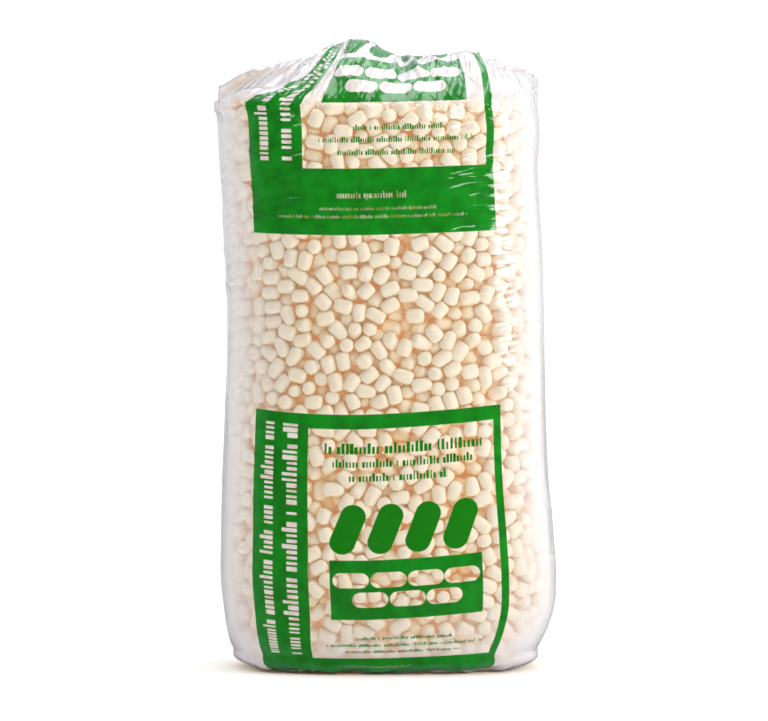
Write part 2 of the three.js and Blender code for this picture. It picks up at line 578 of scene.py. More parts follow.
def store_depth(mesh, container):
    """Stores how deep under the film each point lies, in metres."""
    places = np.zeros(len(mesh.vertices) * 3)
    mesh.vertices.foreach_get("co", places)
    places = places.reshape(-1, 3)
    under_top = container.heap_top(places[:, 0], places[:, 1]) - places[:, 2]
    depth = np.minimum(container.side_distance(places)[0], under_top)
    mesh.attributes.new("depth", "FLOAT", "POINT").data.foreach_set("value", depth.astype(np.float32))


def press_flat(mesh, lowest):
    """Moves the points below a height up to it, as soft foam gives against the floor."""
    places = np.zeros(len(mesh.vertices) * 3, dtype=np.float32)
    mesh.vertices.foreach_get("co", places)
    places[2::3] = np.maximum(places[2::3], lowest)
    mesh.vertices.foreach_set("co", places)
    mesh.update()


def make_heap(settings):
    """The loose peanuts wherever they can be seen, in five zones from the bottom to the top."""
    container = Container(LOOSE_TOP, settings.shell_depth)
    rounds = settings.rounds
    reach = settings.diameter / 2 + settings.air
    length = settings.length + 0.002
    places, aims = settle(container, reach, length, settings.per_litre, rounds, settings.seed)
    rng = np.random.default_rng(settings.seed + 1)
    count = len(places)
    girth = rng.normal(1.0, 0.035, count)
    oval = rng.normal(1.0, 0.03, count)
    swell = np.stack([girth * oval, girth / oval, rng.normal(1.0, 0.07, count)], axis=1)
    attributes = {
        "aim": ("FLOAT_VECTOR", aims.astype(np.float32)),
        "roll": ("FLOAT", rng.uniform(0, 2 * math.pi, count).astype(np.float32)),
        "swell": ("FLOAT_VECTOR", np.clip(swell, 0.8, 1.15).astype(np.float32)),
        "kind": ("INT", rng.integers(0, len(PEANUT_KINDS), count).astype(np.int32)),
        "tone": ("FLOAT", rng.uniform(0, 1, count).astype(np.float32)),
    }
    shapes = bpy.data.collections.new("Peanut Shapes")
    bpy.context.scene.collection.children.link(shapes)
    for index, kind in enumerate(PEANUT_KINDS):
        shape = peanut_shape(f"shape_{index}", settings.diameter / 2, settings.length, *kind)
        shapes.objects.link(shape)
    tree = scatter_tree()
    surface = foam_material(settings)
    order = np.array_split(np.argsort(places[:, 2]), len(ZONES))
    pieces = []
    for zone, members in zip(ZONES, order):
        name = "peanuts_" + zone
        points = point_mesh(name, places[members], {k: (t, v[members]) for k, (t, v) in attributes.items()})
        inputs = {"Shapes": shapes, "Swelling": settings.swelling, "Surface": surface}
        piece = apply_tree(name, points, tree, inputs)
        press_flat(piece.data, 0.001)
        store_depth(piece.data, container)
        pieces.append(piece)
    for shape in list(shapes.objects):
        bpy.data.objects.remove(shape)
    bpy.data.collections.remove(shapes)
    bpy.data.node_groups.remove(tree)
    for piece in pieces:
        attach(piece, "root")
        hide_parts("peanut_fill")
    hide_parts(*LOOSE_NODES)
    return pieces


# ---------------------------------------------------------------- the film


def even_heights(pitch):
    """Heights of the film's rows up the body, evenly spaced along its front."""
    fine = np.linspace(0, SHOULDER, 2400)
    _, _, depth = body_at(fine)
    length = np.concatenate([[0], np.cumsum(np.hypot(np.diff(fine), np.diff(depth)))])
    count = int(round(length[-1] / pitch))
    return np.interp(np.linspace(0, length[-1], count + 1), length, fine)


def film_form(columns, pitch, roof_rows):
    """The smooth film: places in rows from the bottom's middle to the seal, and places on the flat film."""
    across, behind = section(columns)
    u = (np.arange(columns) / columns - 0.5) * GIRTH
    rows = []
    middle, half, depth = body_at(np.array([0.0]))
    for share in (0.015, 0.2, 0.4, 0.6, 0.8, 0.93):
        narrow = 0.35 + 0.65 * share
        rows.append(np.stack([middle + half * across * narrow, depth * behind * share, 0 * u], axis=1))
    for height in even_heights(pitch):
        middle, half, depth = body_at(np.array([height]))
        rows.append(np.stack([middle + half * across, depth * behind, 0 * u + height], axis=1))
    body_rows = len(rows)
    shoulder = rows[-1]
    ply = np.where(np.abs(u) < FOLD_END, -1.0, 1.0)
    fold = np.clip(np.where(ply < 0, u, np.sign(u) * (GIRTH / 2 - np.abs(u))), -FOLD_END, FOLD_END)
    ridge_x = smooth_through(GATHER[:, 0], GATHER[:, 1], fold)
    ridge_z = smooth_through(RIDGE[:, 0], RIDGE[:, 1], ridge_x)
    ends = np.clip(np.abs(fold) / FOLD_END, 0, 1) ** 6
    ridge = np.stack([ridge_x, RIDGE_Y * (1 - 0.5 * ends) + ply * 0.0008 * (1 - ends), ridge_z], axis=1)
    lateness = np.interp(fold, (-0.30, -0.15, 0.0, 0.228, 0.40), (0.62, 0.95, 1.35, 2.2, 1.4))
    for t in np.arange(1, roof_rows + 1) / roof_rows:
        share = np.stack([t**lateness, 0 * u + t**1.15, 0 * u + 1 - (1 - t) ** 1.3], axis=1)
        rows.append(shoulder + (ridge - shoulder) * share)
    for behind_ridge, above in SEAL_ROWS:
        wave = 0.002 * noise(ridge_x / 0.03 + 30, 0 * u + above * 300, 61)
        off = np.stack([0 * u, behind_ridge + 0 * u, above + wave], axis=1)
        lift = np.stack([0 * u, 0 * u, -ply * 0.0006 * (1 - ends)], axis=1)
        rows.append(ridge + off + lift)
    form = np.array(rows)
    steps = np.linalg.norm(np.diff(form, axis=0), axis=2)
    crumpled = 1 + 32 * np.clip(0.11 - form[1:, :, 2], 0, 0.06)
    v = np.concatenate([np.zeros((1, columns)), np.cumsum(steps * crumpled, axis=0)])
    level = np.argmin(np.abs(form[:body_rows, 0, 2] - LEVEL))
    v += form[level, 0, 2] - v[level]
    return form, u, v, body_rows


def outward_of(form):
    """Unit normals of the film grid."""
    along = np.roll(form, -1, axis=1) - np.roll(form, 1, axis=1)
    up = np.gradient(form, axis=0)
    normal = np.cross(along, up)
    return normal / np.maximum(np.linalg.norm(normal, axis=2), 1e-9)[:, :, None]


def touch_heights(form, normal, pieces, rows, reach=0.03):
    """How far the peanuts stand out of the smooth film at each point, or -reach where there is none."""
    heights = np.full(form.shape[:2], -reach)
    view = bpy.context.evaluated_depsgraph_get()
    for piece in pieces:
        tree = BVHTree.FromObject(piece, view)
        tops = [corner[2] for corner in piece.bound_box]
        low, high = min(tops) - 0.005, max(tops) + 0.005
        for r in range(*rows):
            if form[r, :, 2].max() < low or form[r, :, 2].min() > high:
                continue
            for i in range(form.shape[1]):
                n = Vector(normal[r, i])
                hit = tree.ray_cast(Vector(form[r, i]) + n * reach, -n, 2 * reach)
                if hit[0] is not None:
                    heights[r, i] = max(heights[r, i], reach - hit[3])
    return heights


def taut(lowest, rounds):
    """A skin pulled tight over the heights in lowest, without reaching across a hollow all the way."""
    height = lowest.copy()
    for _ in range(rounds):
        mean = (np.roll(height, 1, 1) + np.roll(height, -1, 1)) / 4
        mean[1:-1] += (height[:-2] + height[2:]) / 4
        mean[0], mean[-1] = height[0], height[-1]
        height = np.maximum(mean, lowest)
    return height


def spread(height, drop):
    """Each height raised to its highest neighbour's, less a drop."""
    for axis in (1, 0):
        for step in (-1, 1):
            height = np.maximum(height, np.roll(height, step, axis) - drop)
    return height


def smoothed(height, rounds):
    """Heights evened out between neighbours."""
    for _ in range(rounds):
        height = (np.roll(height, 1, 1) + np.roll(height, -1, 1) + 2 * height) / 4
        height[1:-1] = (height[:-2] + height[2:] + 2 * height[1:-1]) / 4
    return height


def crease(u, v, start, end, width, height, steepness=2.4):
    """A fold of the film from start to end, gentle above its crest and steep below, fading at both ends."""
    start, end = np.array(start), np.array(end)
    length = np.linalg.norm(end - start)
    along = (end - start) / length
    t = ((u - start[0]) * along[0] + (v - start[1]) * along[1]) / length
    above = (v - start[1]) * along[0] - (u - start[0]) * along[1]
    bend = 0.10 * length * np.sin(np.pi * np.clip(t, 0, 1))
    above = above - bend
    away = np.where(above > 0, above, -above * steepness)
    widening = 0.35 + 0.65 * np.clip(t, 0, 1)
    fade = np.clip(np.sin(np.pi * np.clip(t, 0, 1) ** 1.5), 0, 1) ** 0.6
    return height * widening * np.clip(1 - away / (width * widening), 0, 1) * fade


# Folds of the film, each from start to end on the flat film, with its width and height in metres
SIDE_FAN = (
    ((0.090, 1.020), (0.262, 1.052), 0.0200, 0.0062),
    ((0.095, 1.000), (0.250, 1.012), 0.0140, 0.0044),
    ((0.105, 0.979), (0.250, 0.993), 0.0150, 0.0046),
    ((0.145, 0.961), (0.255, 0.976), 0.0120, 0.0038),
    ((0.150, 0.945), (0.235, 0.952), 0.0110, 0.0034),
    ((0.180, 1.055), (0.275, 1.100), 0.0120, 0.0040),
    ((0.080, 0.885), (0.255, 0.903), 0.0130, 0.0036),
    ((0.110, 0.835), (0.260, 0.860), 0.0120, 0.0032),
    ((0.140, 0.775), (0.265, 0.818), 0.0120, 0.0034),
    ((0.195, 0.695), (0.300, 0.770), 0.0130, 0.0040),
    ((0.160, 0.600), (0.260, 0.615), 0.0110, 0.0030),
    ((0.120, 1.120), (0.270, 1.150), 0.0120, 0.0040),
)
LEFT_CREASES = (
    ((-0.175, 1.090), (-0.300, 1.088), 0.0120, 0.0042),
    ((-0.185, 1.002), (-0.310, 1.030), 0.0130, 0.0046),
    ((-0.330, 1.225), (-0.390, 1.165), 0.0120, 0.0060),
    ((-0.180, 0.985), (-0.290, 0.965), 0.0110, 0.0036),
    ((-0.200, 0.455), (-0.295, 0.470), 0.0100, 0.0028),
)
TOP_FOLDS = (
    ((-0.005, 1.375), (0.090, 1.235), 0.0200, 0.0150),
    ((0.030, 1.370), (0.150, 1.250), 0.0150, 0.0080),
    ((-0.150, 1.370), (-0.170, 1.190), 0.0150, 0.0080),
    ((-0.250, 1.340), (-0.215, 1.180), 0.0160, 0.0100),
    ((0.215, 1.360), (0.225, 1.185), 0.0140, 0.0070),
    ((0.320, 1.330), (0.285, 1.190), 0.0160, 0.0070),
    ((-0.055, 1.360), (-0.075, 1.215), 0.0130, 0.0060),
    ((0.130, 1.340), (0.115, 1.240), 0.0130, 0.0060),
)
NECK = ((0.330, 1.196), (0.560, 1.196), 0.0085, -0.0110)


def fold_heights(u, v, seed):
    """Heights of all the film's folds over its smooth form."""
    folds = sum(crease(u, v, *fold) for fold in (*SIDE_FAN, *LEFT_CREASES, *TOP_FOLDS, NECK))
    rng = np.random.default_rng(seed)
    for _ in range(90):
        start = np.array([rng.uniform(-0.92, 0.92), rng.uniform(0.03, 1.16)])
        lean = rng.normal(0, 0.45)
        reach = rng.uniform(0.05, 0.14)
        end = start + reach * np.array([math.cos(lean), math.sin(lean)])
        folds = folds + crease(u, v, start, end, rng.uniform(0.008, 0.014), rng.uniform(0.0008, 0.0022))
    cells = 36
    across = (u / GIRTH + 0.5) * cells
    ridged = 1 - 2 * np.abs(noise(across + 0.6 * noise(across, v / 0.1, 8, cells), v / 0.16, 9, cells))
    slack = np.clip((v - 1.16) / 0.15, 0, 1)
    fine = 1 - 2 * np.abs(noise(across * 3, v / 0.045, 12, cells * 3))
    corner = np.clip(1 - np.abs(np.abs(u) - FOLD_END) / 0.16, 0, 1)
    return folds + slack * (1 - 0.7 * corner) * (0.0070 * ridged + 0.0025 * fine) + 0.0006 * ridged


def grid_faces(rows, columns):
    """Quads of a grid that closes round, with both its ends sewn shut from front to back."""
    here = np.arange(rows * columns).reshape(rows, columns)
    there = np.roll(here, -1, axis=1)
    quads = np.stack([here[:-1], there[:-1], there[1:], here[1:]], axis=-1).reshape(-1, 4)
    faces = quads.tolist()
    partner = (columns // 2 - np.arange(columns)) % columns
    for row, upward in ((0, False), (rows - 1, True)):
        for k in range(columns // 4, 3 * columns // 4):
            ring = [k, k + 1, int(partner[k + 1]), int(partner[k])]
            ring = [row * columns + c for c in dict.fromkeys(ring)]
            faces.append(ring if upward else ring[::-1])
    return faces, len(quads)


def make_film(settings, heap):
    """The printed film bag, drawn tight over the peanuts and slack above them."""
    form, u, v, body_rows = film_form(settings.columns, settings.pitch, settings.roof_rows)
    rows, columns = form.shape[:2]
    normal = outward_of(form)
    flat_u = np.broadcast_to(u, v.shape)
    touch = touch_heights(form, normal, heap, (0, body_rows + settings.roof_rows // 2))
    touch = spread(touch, 0.0004) + settings.clearance
    at_side = np.clip(1 - np.abs(np.abs(flat_u) - FOLD_END) / 0.14, 0, 1)
    under_shoulder = np.clip((SHOULDER - 0.01 - form[:, :, 2]) / 0.03, 0, 1)
    on_body = under_shoulder * np.clip((form[:, :, 2] - 0.02) / 0.05, 0, 1)
    rest = settings.stand_off * (1 - at_side) * on_body
    height = smoothed(taut(np.maximum(touch, rest), settings.tightness), 2)
    height = np.maximum(height + fold_heights(flat_u, v, settings.seed), touch - settings.clearance)
    height[-6:] = 0
    places = form + normal * height[:, :, None]
    places[:, :, 2] = np.maximum(places[:, :, 2], 0.0)
    faces, quads = grid_faces(rows, columns)
    mesh = bpy.data.meshes.new("bag_film")
    mesh.from_pydata(places.reshape(-1, 3).tolist(), [], faces)
    mesh.shade_smooth()
    corner = np.zeros(len(mesh.loops), dtype=np.int64)
    mesh.loops.foreach_get("vertex_index", corner)
    flat = np.stack([flat_u.ravel()[corner], v.ravel()[corner], np.zeros(len(corner))], axis=1)
    seam = np.zeros(len(corner), dtype=bool)
    in_quads = np.arange(quads * 4).reshape(-1, 4)
    last = (corner[in_quads[:, 0]] % columns) == columns - 1
    seam[in_quads[last][:, 1:3].ravel()] = True
    flat[seam, 0] += GIRTH
    attribute = mesh.attributes.new("flat_film", "FLOAT_VECTOR", "CORNER")
    attribute.data.foreach_set("vector", flat.astype(np.float32).ravel())
    mesh.materials.append(film_material(settings))
    film = add_object("film_bag", mesh)
    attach(film, "root")
    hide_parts("bag_film")
    return film


# ---------------------------------------------------------------- print and surfaces


def new_group(name, inputs, outputs):
    """An empty shader node group, the wiring in it, its inputs, and a function that sets an output."""
    tree = bpy.data.node_groups.new(name, "ShaderNodeTree")
    for way, sockets in (("INPUT", inputs), ("OUTPUT", outputs)):
        for key, kind in sockets.items():
            tree.interface.new_socket(key, in_out=way, socket_type="NodeSocket" + kind)
    wiring = Wiring(tree)
    given = wiring.node("NodeGroupInput").outputs
    result = wiring.node("NodeGroupOutput")
    return tree, wiring, given, lambda key, value: wiring.feed(result.inputs[key], value)


def pill_group():
    """Distance to a pill: a line of some half length, turned, with round ends of some radius."""
    sockets = {"Place": "Vector", "Middle": "Vector"}
    sockets.update({"Half Length": "Float", "Radius": "Float", "Turn": "Float"})
    tree, w, given, give = new_group("Pill", sockets, {"Distance": "Float"})
    off = w.vector("SUBTRACT", given["Place"], given["Middle"])
    parts = w.parts(w.turned(off, w.times(given["Turn"], -1.0)))
    past = w.greater(w.minus(w.size(parts[0]), given["Half Length"]), 0.0)
    squared = w.plus(w.times(past, past), w.times(parts[1], parts[1]))
    give("Distance", w.minus(w.maths("SQRT", squared), given["Radius"]))
    return tree


def bar_group():
    """Distance to an upright rectangle of some half width and half height."""
    sockets = {"Place": "Vector", "Middle": "Vector", "Half Width": "Float", "Half Height": "Float"}
    tree, w, given, give = new_group("Bar", sockets, {"Distance": "Float"})
    parts = w.parts(w.vector("SUBTRACT", given["Place"], given["Middle"]))
    over_x = w.minus(w.size(parts[0]), given["Half Width"])
    over_y = w.minus(w.size(parts[1]), given["Half Height"])
    give("Distance", w.greater(over_x, over_y))
    return tree


def strokes_group():
    """Distance to a row of upright strokes, uneven in width and height, with wider gaps here and there."""
    sockets = {"Place": "Vector", "Start": "Vector", "Length": "Float", "Height": "Float", "Seed": "Float"}
    tree, w, given, give = new_group("Strokes", sockets, {"Distance": "Float"})
    parts = w.parts(w.vector("SUBTRACT", given["Place"], given["Start"]))
    pitch = w.times(given["Height"], 0.38)
    cell = w.maths("DIVIDE", parts[0], pitch)
    number = w.plus(w.maths("FLOOR", cell), given["Seed"])
    chance = w.node("ShaderNodeTexWhiteNoise", {"W": number}, noise_dimensions="1D").outputs["Value"]
    number = w.plus(number, 57.3)
    other = w.node("ShaderNodeTexWhiteNoise", {"W": number}, noise_dimensions="1D").outputs["Value"]
    in_cell = w.times(w.minus(w.maths("FRACT", cell), 0.5), pitch)
    half = w.times(pitch, w.between(chance, 0.0, 1.0, 0.20, 0.46))
    tall = w.times(given["Height"], w.between(w.maths("GREATER_THAN", other, 0.76), 0, 1, 0.34, 0.5))
    from_middle = w.plus(w.minus(parts[1], tall), w.times(given["Height"], 0.5))
    soft = w.times(given["Height"], 0.05)
    over_x = w.minus(w.size(in_cell), w.minus(half, soft))
    over_y = w.minus(w.size(from_middle), w.minus(tall, soft))
    over_x = w.greater(over_x, 0.0)
    over_y = w.greater(over_y, 0.0)
    squared = w.plus(w.times(over_x, over_x), w.times(over_y, over_y))
    stroke = w.minus(w.maths("SQRT", squared), soft)
    group_start = w.maths("LESS_THAN", w.maths("FRACT", w.times(number, 0.085)), 0.085)
    gap = w.greater(w.maths("LESS_THAN", other, 0.05), group_start)
    half_run = w.times(given["Length"], 0.5)
    past_end = w.minus(w.size(w.minus(parts[0], half_run)), half_run)
    give("Distance", w.greater(w.plus(stroke, gap), past_end))
    return tree


# The printed panel in metres: it repeats up the film tube
PANEL_WIDTH = 0.490
PANEL_HEIGHT = 0.693
PANEL_REPEAT = 1.060
PANEL_LEFT = -0.262  # from the front's middle
PANEL_TOP = 0.5360  # of the lower panel, up the flat film
BAND_HEIGHT = 0.1365  # the solid band at the panel's foot
BORDER_TOP = 0.030
BORDER_LEFT = 0.113
BORDER_RIGHT = 0.016
PRINT_MASKS = {"Ink": "Float", "Light Green": "Float", "Pale": "Float"}


def print_group():
    """Where the film is printed, and where that print is the lighter green, from a place on the flat film."""
    tree, w, given, give = new_group("Panel Print", {"Place": "Vector"}, PRINT_MASKS)
    pill, bar, strokes = pill_group(), bar_group(), strokes_group()
    parts = w.parts(given["Place"])
    right_rise = w.maths("POWER", w.between(parts[0], -0.06, 0.29), 1.5)
    left_rise = w.maths("POWER", w.between(parts[0], -0.07, -0.30), 2.0)
    rise = w.plus(w.times(right_rise, 0.030), w.times(left_rise, 0.018))
    rise = w.times(rise, w.between(parts[1], 0.95, 0.50, 0.45, 1.0))
    up = w.minus(parts[1], rise)
    up = w.plus(up, w.between(parts[1], 0.06, -0.05, 0.0, 0.032))
    up = w.maths("FLOORED_MODULO", w.minus(up, PANEL_TOP - PANEL_HEIGHT), PANEL_REPEAT)
    pleat = w.times(w.between(parts[1], 1.195, 1.275, 0.0, 0.095), w.between(parts[0], -0.10, -0.17))
    across = w.minus(parts[0], pleat)
    place = w.node("ShaderNodeCombineXYZ", {0: w.minus(across, PANEL_LEFT), 1: up}).outputs[0]
    upward = w.node("ShaderNodeCombineXYZ", {0: up, 1: w.times(across, -1.0)}).outputs[0]

    def add_bar(left, right, low, high):
        values = {
            "Place": place,
            "Middle": ((left + right) / 2, (low + high) / 2, 0),
            "Half Width": (right - left) / 2,
            "Half Height": (high - low) / 2,
        }
        return w.group(bar, values).outputs[0]

    def add_pill(x, y, half, radius, turn):
        values = {"Place": place, "Middle": (x, y, 0), "Half Length": half, "Radius": radius}
        return w.group(pill, {**values, "Turn": math.radians(turn)}).outputs[0]

    def add_strokes(left, right, y, height, seed):
        values = {"Place": place, "Start": (left, y, 0), "Length": right - left, "Height": height}
        return w.group(strokes, {**values, "Seed": seed}).outputs[0]

    def add_column(x, height, seed):
        values = {"Place": upward, "Start": (0.150, -PANEL_LEFT - x, 0), "Length": 0.52, "Height": height}
        return w.group(strokes, {**values, "Seed": seed}).outputs[0]

    window = add_bar(BORDER_LEFT, PANEL_WIDTH - BORDER_RIGHT, BAND_HEIGHT, PANEL_HEIGHT - BORDER_TOP)
    columns = [add_column(0.030, 0.027, 3.0), add_column(0.077, 0.030, 31.0)]
    band_lines = [
        add_strokes(0.175, 0.312, 0.0825, 0.014, 5.0),
        add_strokes(0.140, 0.370, 0.0545, 0.007, 8.0),
        add_strokes(0.056, 0.430, 0.0380, 0.007, 13.0),
    ]
    frame_ink = w.cut(add_bar(0, PANEL_WIDTH, 0, PANEL_HEIGHT), window, *columns)
    lines = [
        add_strokes(0.159, 0.430, 0.5930, 0.017, 41.0),
        add_strokes(0.191, 0.380, 0.5640, 0.017, 47.0),
        add_strokes(0.212, 0.388, 0.2205, 0.012, 53.0),
        add_strokes(0.139, 0.449, 0.1955, 0.012, 59.0),
        add_strokes(0.177, 0.412, 0.1695, 0.012, 61.0),
    ]
    slots = [add_pill(x, 0.354, 0.018, 0.0155, 0) for x in (0.192, 0.262, 0.331, 0.399)]
    slots += [add_pill(x, 0.314, 0.018, 0.0155, 0) for x in (0.227, 0.297, 0.365)]
    block = w.cut(add_bar(0.153, 0.438, 0.273, 0.395), *slots)
    dark = w.least([frame_ink, block, *lines])
    light = [add_pill(x, 0.458, 0.029, 0.0240, 68) for x in (0.188, 0.259, 0.330, 0.401)]
    light = w.least([*light, add_strokes(0.143, 0.449, 0.6230, 0.022, 71.0)])
    edge = 0.0006
    light_mask = w.between(light, edge, -edge)
    faint = w.times(w.between(w.least(band_lines), edge, -edge), 0.45)
    ink = w.greater(w.between(dark, edge, -edge), light_mask)
    front = w.maths("LESS_THAN", w.size(parts[0]), FOLD_END)
    give("Ink", w.times(w.minus(ink, faint), front))
    give("Light Green", light_mask)
    pale = w.greater(w.between(w.least(columns), edge, -edge), w.times(faint, 0.8))
    give("Pale", w.times(pale, front))
    return tree


def wrinkle_group():
    """Height in metres of fine tension wrinkles, from a place on the flat film."""
    tree, w, given, give = new_group("Wrinkles", {"Place": "Vector"}, {"Height": "Float"})
    parts = w.parts(given["Place"])
    from_side = w.size(w.minus(w.size(parts[0]), 0.24))
    sides = w.between(from_side, 0.14, 0.03)
    upper = w.times(w.between(parts[1], 0.45, 0.85, 0.15, 1.0), w.between(parts[1], 1.20, 1.12))
    slack = w.between(parts[1], 1.13, 1.20)
    total = None
    for turn, along, across, mask, height, seed in (
        (13, 5.0, 34.0, w.times(sides, upper), 0.0016, 2.0),
        (-9, 4.0, 26.0, w.times(sides, upper), 0.0010, 9.0),
        (78, 7.0, 40.0, slack, 0.0022, 5.0),
        (118, 9.0, 32.0, slack, 0.0016, 7.0),
    ):
        turned = w.turned(given["Place"], -math.radians(turn))
        scaled = w.vector("MULTIPLY", turned, (along, across, 0))
        moved = w.vector("ADD", scaled, (seed, seed, seed))
        noise_node = w.node("ShaderNodeTexNoise", {"Vector": moved, "Scale": 1.0, "Detail": 1.0})
        centred = w.times(w.size(w.minus(noise_node.outputs["Fac"], 0.5)), 5.0)
        ridge = w.maths("POWER", w.greater(w.minus(1.0, centred), 0.0), 1.6)
        layer = w.times(w.times(ridge, mask), height)
        total = layer if total is None else w.plus(total, layer)
    give("Height", total)
    return tree


def grain_group():
    """Uneven tone and fine relief, for foam and for film."""
    sockets = {"Place": "Vector", "Coarse": "Float", "Fine": "Float"}
    tree, w, given, give = new_group("Grain", sockets, {"Tone": "Float", "Relief": "Float"})
    coarse = w.node("ShaderNodeTexNoise", {"Vector": given["Place"], "Scale": given["Coarse"], "Detail": 2.0})
    fine = w.node("ShaderNodeTexNoise", {"Vector": given["Place"], "Scale": given["Fine"], "Detail": 2.0})
    cells = w.node("ShaderNodeTexVoronoi", {"Vector": given["Place"], "Scale": given["Fine"]})
    give("Tone", coarse.outputs["Fac"])
    mixed = w.plus(fine.outputs["Fac"], w.times(cells.outputs["Distance"], 0.5))
    give("Relief", mixed)
    return tree


def shared_group(make, name):
    """A node group built once."""
    return bpy.data.node_groups.get(name) or make()


def new_material(name):
    """An empty material, its wiring and its output node."""
    material = bpy.data.materials.new(name)
    material.use_nodes = True
    material.node_tree.nodes.clear()
    wiring = Wiring(material.node_tree)
    return material, wiring, wiring.node("ShaderNodeOutputMaterial")


def foam_material(settings):
    """Cream starch foam: matte, with fine pores and a tone that differs from peanut to peanut. Deeper under
    the film it is painted a warmer, darker shade and gives off a faint painted glow, in place of the shade
    and scattered light between peanuts.
    """
    material, w, output = new_material("Starch Foam")
    place = w.node("ShaderNodeTexCoord").outputs["Object"]
    grain = shared_group(grain_group, "Grain")
    grain = w.group(grain, {"Place": place, "Coarse": 60.0, "Fine": 520.0}).outputs
    tone = w.node("ShaderNodeAttribute", attribute_name="tone").outputs["Fac"]
    share = w.plus(w.times(tone, 0.7), w.times(grain["Tone"], 0.3))
    outer = w.mix(share, settings.foam_warm, settings.foam_pale)
    depth = w.node("ShaderNodeAttribute", attribute_name="depth").outputs["Fac"]
    # Painted shade: deeper under the film the colour turns warmer and darker, standing in for the shade
    # between peanuts.
    colour = w.mix(w.between(depth, 0.006, 0.036), outer, settings.foam_painted_deep_shade)
    # Painted glow: deep peanuts give off a faint warm light in place of light scattered in the foam, though
    # they are no lamp.
    glow = w.mix(w.between(depth, 0.008, 0.040), (0, 0, 0, 1), settings.foam_painted_glow)
    bump = w.node("ShaderNodeBump", {"Strength": 0.5, "Distance": 0.0006, "Height": grain["Relief"]})
    surface = w.node(
        "ShaderNodeBsdfPrincipled",
        {"Base Color": colour, "Roughness": 0.75, "Specular IOR Level": 0.3, "Normal": bump.outputs[0]},
    )
    w.feed(surface.inputs["Emission Color"], glow)
    surface.inputs["Emission Strength"].default_value = 1.0
    w.feed(output.inputs["Surface"], surface.outputs[0])
    return material


def film_material(settings):
    """Clear, slightly milky film with green print: it shows what is behind it, less so at a slant. At a slant
    the print is also painted paler, as a painted sheen.
    """
    material, w, output = new_material("Printed Film")
    flat = w.node("ShaderNodeAttribute", attribute_name="flat_film").outputs["Vector"]
    place = w.node("ShaderNodeTexCoord").outputs["Object"]
    grain = shared_group(grain_group, "Grain")
    grain = w.group(grain, {"Place": place, "Coarse": 30.0, "Fine": 120.0}).outputs
    printed = w.group(shared_group(print_group, "Panel Print"), {"Place": flat}).outputs
    wrinkles = w.group(shared_group(wrinkle_group, "Wrinkles"), {"Place": flat}).outputs[0]
    relief = w.plus(wrinkles, w.times(grain["Relief"], 0.00025))
    bump = w.node("ShaderNodeBump", {"Strength": 1.0, "Distance": 1.0, "Height": relief}).outputs[0]
    up = w.parts(flat)[1]
    slack = w.between(up, 1.165, 1.205, 0.0, settings.slack_haze)
    foot = w.between(up, 0.17, 0.02, 0.0, settings.slack_haze * 0.8)
    slant = w.node("ShaderNodeLayerWeight", {"Blend": 0.5}).outputs["Facing"]
    haze = w.between(slant, 0.03, 0.55, settings.haze, settings.edge_haze)
    haze = w.plus(haze, w.plus(slack, foot))
    haze = w.greater(haze, w.times(printed["Pale"], 0.6))
    cover = w.greater(haze, w.times(printed["Ink"], settings.ink_cover))
    cover = w.lesser(cover, settings.ink_cover)
    green = w.mix(w.between(grain["Tone"], 0.35, 0.62), settings.ink_dark, settings.ink_green)
    green = w.mix(printed["Light Green"], green, settings.ink_light)
    # Painted sheen: at a slant the green turns paler and bluer, standing in for glare on the film.
    green = w.mix(w.between(slant, 0.12, 0.75, 0.0, 0.30), green, settings.ink_painted_sheen)
    inked = w.lesser(w.times(printed["Ink"], 1.6), 1.0)
    film = w.node(
        "ShaderNodeBsdfPrincipled",
        {
            "Base Color": w.mix(inked, settings.haze_colour, green),
            "Roughness": 0.5,
            "Specular IOR Level": 0.05,
            "Alpha": cover,
            "Normal": bump,
        },
    )
    shine = w.node("ShaderNodeBsdfGlossy", {"Roughness": settings.shine_roughness, "Normal": bump})
    fresnel = w.node("ShaderNodeFresnel", {"IOR": 1.5, "Normal": bump}).outputs[0]
    fresnel = w.lesser(w.times(fresnel, settings.shine), 0.7)
    both = w.node("ShaderNodeMixShader", {0: fresnel, 1: film.outputs[0], 2: shine.outputs[0]})
    path = w.node("ShaderNodeLightPath").outputs
    clear = w.node("ShaderNodeBsdfTransparent", {"Color": settings.film_tint}).outputs[0]
    within = w.node("ShaderNodeMixShader", {0: path["Is Diffuse Ray"], 1: both.outputs[0], 2: clear})
    lit = w.node("ShaderNodeMixShader", {0: path["Is Shadow Ray"], 1: within.outputs[0], 2: clear})
    w.feed(output.inputs["Surface"], lit.outputs[0])
    return material


# ---------------------------------------------------------------- the stage


def make_floor(radius):
    """A wide round floor under the bag. As the camera sees it, it is evenly pale; as mirrored in gloss it is
    painted dark at the front and grey behind.
    """
    build = bmesh.new()
    bmesh.ops.create_circle(build, cap_ends=True, radius=radius, segments=64)
    mesh = bpy.data.meshes.new("floor")
    build.to_mesh(mesh)
    build.free()
    material, w, output = new_material("Studio Floor")
    glossy = w.node("ShaderNodeLightPath").outputs["Is Glossy Ray"]
    parts = w.parts(w.node("ShaderNodeTexCoord").outputs["Object"])
    # Painted reflection: mirrored in gloss the floor is dark in front and grey behind, though it is pale as
    # seen.
    mirrored = w.mix(w.between(parts[1], -0.3, 0.3), (0.02, 0.02, 0.02, 1), (0.42, 0.42, 0.42, 1))
    colour = w.mix(glossy, (0.97, 0.97, 0.97, 1), mirrored)
    surface = w.node("ShaderNodeBsdfPrincipled", {"Base Color": colour, "Roughness": 0.9})
    w.feed(output.inputs["Surface"], surface.outputs[0])
    mesh.materials.append(material)
    floor = add_object("floor", mesh)
    floor.location.z = -0.0005
    return floor


def aim_at(thing, target):
    """Turns a lamp or camera towards a point."""
    thing.rotation_euler = (Vector(target) - thing.location).to_track_quat("-Z", "Y").to_euler()


